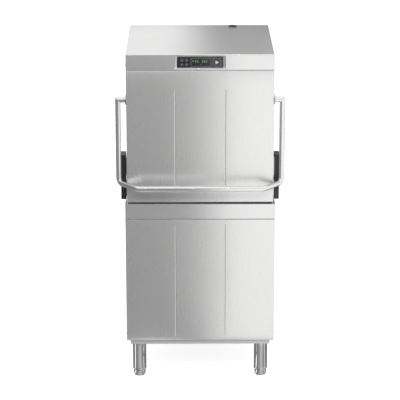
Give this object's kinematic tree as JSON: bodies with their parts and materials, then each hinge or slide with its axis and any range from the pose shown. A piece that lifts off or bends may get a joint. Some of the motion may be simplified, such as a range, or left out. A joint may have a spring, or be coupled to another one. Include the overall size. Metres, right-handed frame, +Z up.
{
  "type": "hood-type commercial dishwasher",
  "caption": "Pass-through dishwasher: stainless base on legs, a lifting hood with a wrap-round tube handle, side mouldings and a black key panel, spray arms and tank inside.",
  "frame": {"origin": "on the floor, under the middle of the outer box", "axes": "+Z up, -Y towards the front and its handle, +X to the right seen from the front"},
  "size_m": [0.739, 0.8314, 1.503],
  "materials": {
    "satin_steel": "satin brushed stainless sheet",
    "inner_steel": "plain stainless sheet and pipe",
    "handle_steel": "polished stainless tube",
    "black_moulding": "fine moulded grain",
    "seal_rubber": "matt rubber",
    "panel_black": "gloss black control front",
    "key_black": "gloss black key cap",
    "spray_polymer": "grey moulded plastic",
    "zinc_steel": "grey powder coat",
    "cast_aluminium": "cast",
    "valve_brass": "turned brass"
  },
  "bodies": {
    "base": {"chassis_frame": "satin_steel", "base_front_panel": "satin_steel", "base_left_panel": "satin_steel", "base_right_panel": "satin_steel", "base_rear_panel": "satin_steel", "deck_rim": "satin_steel", "rear_wall": "satin_steel", "leg_tubes": "handle_steel", "wash_tank": "inner_steel", "filter_trays": "inner_steel", "lower_spindle": "inner_steel", "upper_wash_pipe": "inner_steel", "rinse_pipe": "inner_steel", "rack_rails": "inner_steel", "tank_heater": "inner_steel", "wash_pump_casing": "spray_polymer", "wash_pump_motor": "cast_aluminium", "rinse_boiler": "inner_steel", "drain_pump": "spray_polymer", "dosing_pumps": "spray_polymer", "electrical_box": "zinc_steel", "water_inlet": "valve_brass", "drain_outlet": "spray_polymer", "cable_gland": "black_moulding", "column_frame": "inner_steel", "guide_rails": "inner_steel", "column_cover": "satin_steel", "strut_cylinders": "zinc_steel", "base_screws": "handle_steel"},
    "hood": {"hood_front_skin": "satin_steel", "hood_left_skin": "satin_steel", "hood_right_skin": "satin_steel", "hood_top_cover": "satin_steel", "hood_liner": "inner_steel", "hood_gasket": "seal_rubber", "handle_tube": "handle_steel", "handle_flanges": "handle_steel", "side_blocks": "black_moulding", "hood_carriages": "inner_steel", "slide_shoes": "black_moulding", "vent_cap": "black_moulding", "control_glass": "panel_black", "control_housing": "black_moulding", "hood_screws": "handle_steel", "strut_rods": "handle_steel"},
    "lower_wash_arm": {"lower_wash_arm": "inner_steel"},
    "lower_rinse_arm": {"lower_rinse_arm": "inner_steel"},
    "upper_wash_arm": {"upper_wash_arm": "inner_steel"},
    "upper_rinse_arm": {"upper_rinse_arm": "inner_steel"},
    "pump_impeller": {"pump_impeller": "spray_polymer"},
    "overflow_standpipe": {"overflow_standpipe": "inner_steel"},
    "key_upper_left": {"key_upper_left": "key_black"},
    "key_upper_right": {"key_upper_right": "key_black"},
    "key_lower_left": {"key_lower_left": "key_black"},
    "key_lower_right": {"key_lower_right": "key_black"},
    "start_key": {"start_key": "key_black"},
    "foot_front_left": {"foot_front_left": "handle_steel"},
    "foot_front_right": {"foot_front_right": "handle_steel"},
    "foot_rear_left": {"foot_rear_left": "handle_steel"},
    "foot_rear_right": {"foot_rear_right": "handle_steel"}
  },
  "joints": [
    {"name": "hood_lift", "type": "slide", "parent": "base", "child": "hood", "axis": [0, 0, 1], "range_m": [0, 0.44]},
    {"name": "lower_wash_spin", "type": "hinge", "parent": "base", "child": "lower_wash_arm", "pos_m": [0, -0.00525, 0.795], "axis": [0, 0, 1], "continuous": true},
    {"name": "lower_rinse_spin", "type": "hinge", "parent": "base", "child": "lower_rinse_arm", "pos_m": [0, -0.00525, 0.795], "axis": [0, 0, 1], "continuous": true},
    {"name": "upper_wash_spin", "type": "hinge", "parent": "base", "child": "upper_wash_arm", "pos_m": [0, -0.00525, 1.322], "axis": [0, 0, 1], "continuous": true},
    {"name": "upper_rinse_spin", "type": "hinge", "parent": "base", "child": "upper_rinse_arm", "pos_m": [0, -0.00525, 1.322], "axis": [0, 0, 1], "continuous": true},
    {"name": "pump_spin", "type": "hinge", "parent": "base", "child": "pump_impeller", "pos_m": [0.06, -0.05525, 0.3], "axis": [1, 0, 0], "continuous": true},
    {"name": "standpipe_lift", "type": "slide", "parent": "base", "child": "overflow_standpipe", "axis": [0, 0, 1], "range_m": [0, 0.06]},
    {"name": "key_upper_left_press", "type": "slide", "parent": "hood", "child": "key_upper_left", "axis": [0, 1, 0], "range_m": [0, 0.001], "stiffness_N_per_m": 600},
    {"name": "key_upper_right_press", "type": "slide", "parent": "hood", "child": "key_upper_right", "axis": [0, 1, 0], "range_m": [0, 0.001], "stiffness_N_per_m": 600},
    {"name": "key_lower_left_press", "type": "slide", "parent": "hood", "child": "key_lower_left", "axis": [0, 1, 0], "range_m": [0, 0.001], "stiffness_N_per_m": 600},
    {"name": "key_lower_right_press", "type": "slide", "parent": "hood", "child": "key_lower_right", "axis": [0, 1, 0], "range_m": [0, 0.001], "stiffness_N_per_m": 600},
    {"name": "start_key_press", "type": "slide", "parent": "hood", "child": "start_key", "axis": [0, 1, 0], "range_m": [0, 0.001], "stiffness_N_per_m": 800},
    {"name": "foot_front_left_adjust", "type": "slide", "parent": "base", "child": "foot_front_left", "axis": [0, 0, 1], "range_m": [-0.05, 0]},
    {"name": "foot_front_right_adjust", "type": "slide", "parent": "base", "child": "foot_front_right", "axis": [0, 0, 1], "range_m": [-0.05, 0]},
    {"name": "foot_rear_left_adjust", "type": "slide", "parent": "base", "child": "foot_rear_left", "axis": [0, 0, 1], "range_m": [-0.05, 0]},
    {"name": "foot_rear_right_adjust", "type": "slide", "parent": "base", "child": "foot_rear_right", "axis": [0, 0, 1], "range_m": [-0.05, 0]}
  ]
}
